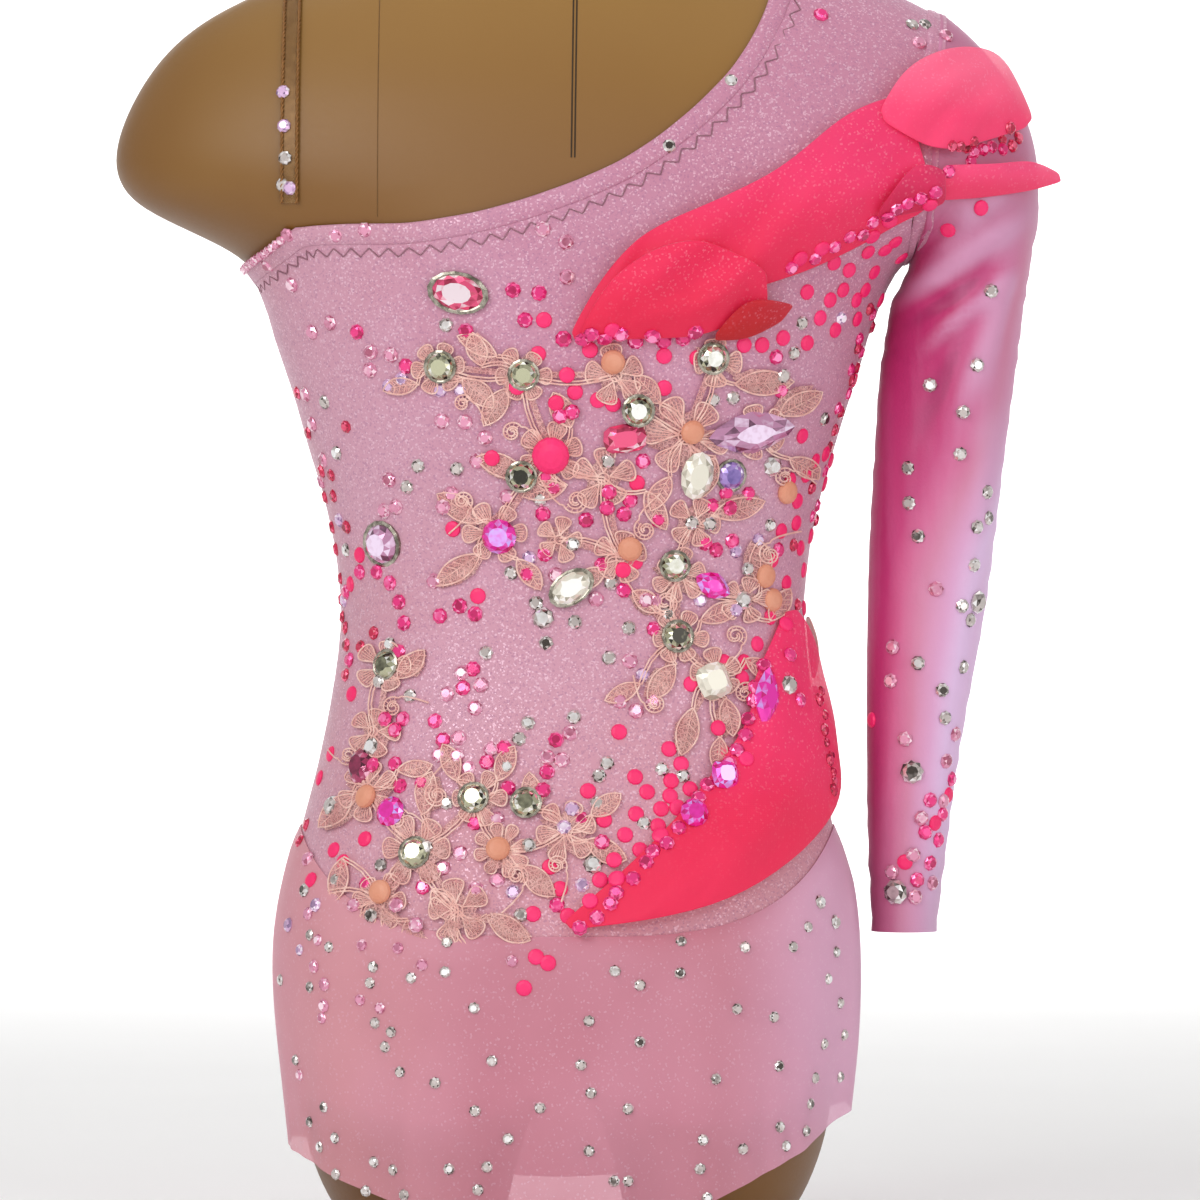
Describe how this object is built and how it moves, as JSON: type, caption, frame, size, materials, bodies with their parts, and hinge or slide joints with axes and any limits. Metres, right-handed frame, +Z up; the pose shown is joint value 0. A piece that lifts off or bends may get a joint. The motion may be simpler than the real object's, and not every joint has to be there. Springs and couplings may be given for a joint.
{
  "type": "rhythmic gymnastics leotard on a dress form",
  "caption": "One-sleeved pink leotard with a sheer skirt, chiffon petals, lace and sewn stones, worn by a limbless dress form that stands on its leg stubs.",
  "frame": {"origin": "middle of the bounding box, on the plane that the leg stubs stand on", "axes": "+Z up, -Y towards the garment's back, which the picture shows, +X towards the sleeve"},
  "size_m": [0.3982, 0.188, 0.59],
  "materials": {
    "form_cover": "smooth tan cover with a soft sheen",
    "stretch_fabric": "lilac-pink stretch fabric with fine glitter",
    "sleeve_velvet": "stretch velvet, shaded from magenta to lilac",
    "strap_cord": "narrow glitter strap with stones",
    "sheer_skirt": "sheer stretch mesh",
    "lace": "peach corded lace",
    "chiffon_pink": "hot pink chiffon",
    "chiffon_coral": "coral pink chiffon",
    "chiffon_red": "red-orange chiffon",
    "chiffon_peach": "peach chiffon",
    "gem_pink": "faceted pink stone",
    "gem_magenta": "faceted magenta stone with a rainbow coat",
    "gem_lilac": "faceted lilac stone",
    "gem_cream": "faceted cream stone",
    "gem_champagne": "faceted champagne crystal"
  },
  "bodies": {
    "root": {"dress_form": "form_cover", "back_panel": "stretch_fabric", "front_panel": "stretch_fabric", "sleeve": "sleeve_velvet", "strap": "strap_cord", "skirt_back": "sheer_skirt", "skirt_front": "sheer_skirt", "lace_back": "lace", "lace_side": "lace", "lace_hip": "lace", "petal_long": "chiffon_pink", "petal_round": "chiffon_pink", "petal_red": "chiffon_red", "petal_top": "chiffon_coral", "petal_dark": "chiffon_pink", "petal_tip": "chiffon_coral", "petal_hip": "chiffon_pink", "side_petal_upper": "chiffon_peach", "side_petal_lower": "chiffon_peach", "stone_pink_oval": "gem_pink", "stone_pink_bar": "gem_pink", "stone_neon_cabochon": "gem_pink", "stone_hip_cushion": "gem_pink", "stone_rose": "gem_magenta", "stone_side_navette": "gem_magenta", "stone_hip_navette": "gem_magenta", "stone_hip_heart": "gem_magenta", "stone_left_pear": "gem_magenta", "stone_left_low": "gem_magenta", "stone_lilac_navette": "gem_lilac", "stone_blue_drop": "gem_lilac", "stone_mauve": "gem_lilac", "stone_cream_drop": "gem_cream", "stone_cream_navette": "gem_cream", "stone_cream_cut": "gem_cream", "stone_upper_left": "gem_champagne", "stone_upper_middle": "gem_champagne", "stone_upper_right": "gem_champagne", "stone_centre_right": "gem_champagne", "stone_left_crystal": "gem_champagne", "stone_side_upper": "gem_champagne", "stone_side_lower": "gem_champagne", "stone_left_upper": "gem_champagne", "stone_hip_left": "gem_champagne", "stone_hip_middle": "gem_champagne", "stone_hip_right": "gem_champagne"}
  },
  "joints": []
}
